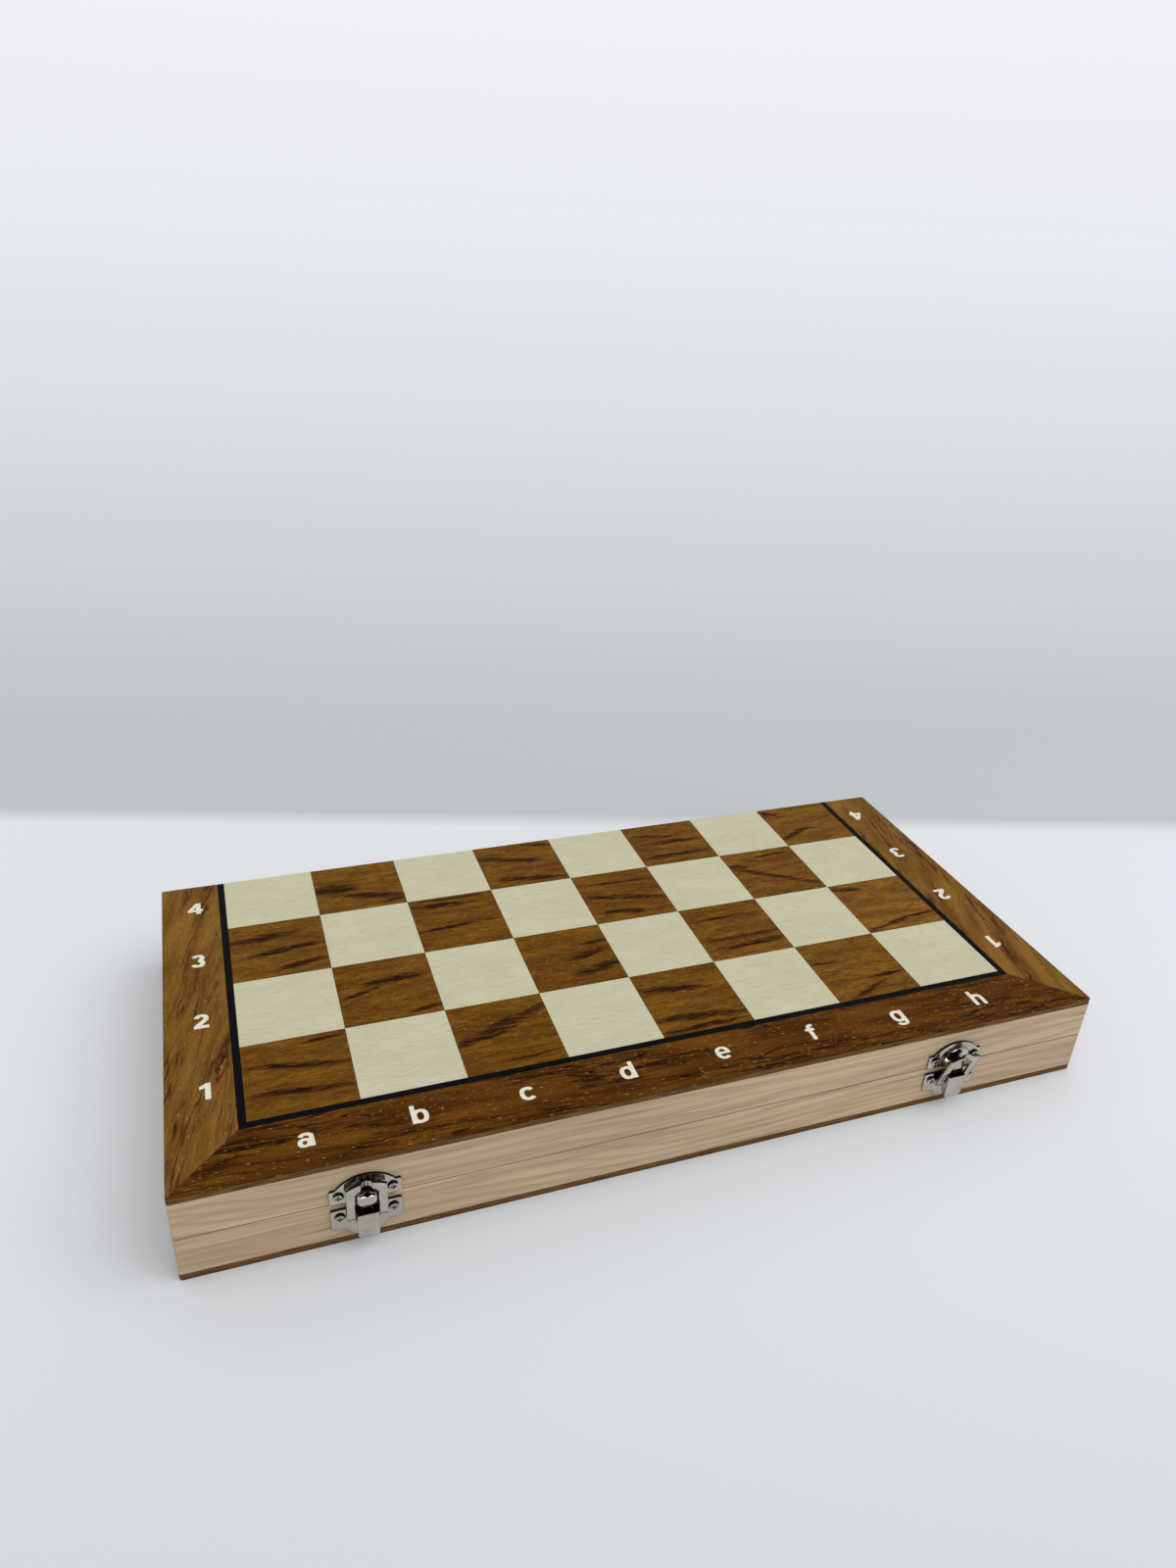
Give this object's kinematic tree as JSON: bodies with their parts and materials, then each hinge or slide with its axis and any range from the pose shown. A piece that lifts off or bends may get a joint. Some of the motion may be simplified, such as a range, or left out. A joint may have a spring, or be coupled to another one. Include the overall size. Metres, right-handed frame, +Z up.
{
  "type": "folding chess set",
  "caption": "Flat wooden chess box that unfolds into its board, with small butt hinges, draw latches on the front edge and turned chessmen lying inside.",
  "frame": {"origin": "middle of the closed box's underside, where it rests on a table", "axes": "+X along the files from a to h, latches on the -Y side, hinges on the +Y side, +Z up"},
  "size_m": [0.39, 0.2034, 0.041],
  "materials": {
    "fibreboard": "matt edge",
    "light_veneer": "semi-gloss varnish",
    "dark_veneer": "semi-gloss varnish",
    "black_line": "semi-gloss varnish",
    "border_veneer": "semi-gloss varnish",
    "pine": "sanded and sealed",
    "nickel_plate": "bright nickel plating",
    "zinc_steel": "zinc plating",
    "light_men": "varnished",
    "dark_men": "varnished"
  },
  "bodies": {
    "bottom_half": {"bottom_panel": "fibreboard", "bottom_light_squares": "light_veneer", "bottom_dark_squares": "dark_veneer", "bottom_black_line": "black_line", "bottom_border_veneer": "border_veneer", "bottom_front_wall": "pine", "bottom_back_wall": "pine", "bottom_left_wall": "pine", "bottom_right_wall": "pine", "left_hinge_lower_leaf": "zinc_steel", "right_hinge_lower_leaf": "zinc_steel", "left_hinge_pin": "zinc_steel", "right_hinge_pin": "zinc_steel", "lower_leaf_screws": "zinc_steel", "left_latch_base": "nickel_plate", "right_latch_base": "nickel_plate", "left_lever_pin": "nickel_plate", "right_lever_pin": "nickel_plate", "base_screws": "nickel_plate", "light_king": "light_men", "light_queen": "light_men", "light_bishops": "light_men", "light_knights": "light_men", "light_rooks": "light_men", "light_pawns": "light_men", "dark_king": "dark_men", "dark_queen": "dark_men", "dark_bishops": "dark_men", "dark_knights": "dark_men", "dark_rooks": "dark_men", "dark_pawns": "dark_men"},
    "top_half": {"top_panel": "fibreboard", "top_light_squares": "light_veneer", "top_dark_squares": "dark_veneer", "top_black_line": "black_line", "top_border_veneer": "border_veneer", "top_front_wall": "pine", "top_back_wall": "pine", "top_left_wall": "pine", "top_right_wall": "pine", "left_hinge_upper_leaf": "zinc_steel", "right_hinge_upper_leaf": "zinc_steel", "upper_leaf_screws": "zinc_steel", "left_keeper": "nickel_plate", "right_keeper": "nickel_plate", "keeper_screws": "nickel_plate"},
    "left_lever": {"left_lever": "nickel_plate", "left_bail_pin": "nickel_plate"},
    "left_bail": {"left_bail": "nickel_plate"},
    "right_lever": {"right_lever": "nickel_plate", "right_bail_pin": "nickel_plate"},
    "right_bail": {"right_bail": "nickel_plate"}
  },
  "joints": [
    {"name": "board_fold", "type": "hinge", "parent": "bottom_half", "child": "top_half", "pos_m": [0, 0.09645, 0.0205], "axis": [-1, 0, 0], "range_deg": [0, 180]},
    {"name": "left_lever_turn", "type": "hinge", "parent": "bottom_half", "child": "left_lever", "pos_m": [-0.1283, -0.09935, 0.0166], "axis": [-1, 0, 0], "range_deg": [0, 100]},
    {"name": "left_bail_swing", "type": "hinge", "parent": "left_lever", "child": "left_bail", "pos_m": [-0.1283, -0.09865, 0.0136], "axis": [1, 0, 0], "range_deg": [0, 150]},
    {"name": "right_lever_turn", "type": "hinge", "parent": "bottom_half", "child": "right_lever", "pos_m": [0.1257, -0.09935, 0.0166], "axis": [-1, 0, 0], "range_deg": [0, 100]},
    {"name": "right_bail_swing", "type": "hinge", "parent": "right_lever", "child": "right_bail", "pos_m": [0.1257, -0.09865, 0.0136], "axis": [1, 0, 0], "range_deg": [0, 150]}
  ],
  "couplings": [
    {"joint": "left_bail_swing", "follows": "left_lever_turn", "ratio": 1.5},
    {"joint": "right_bail_swing", "follows": "right_lever_turn", "ratio": 1.5}
  ]
}
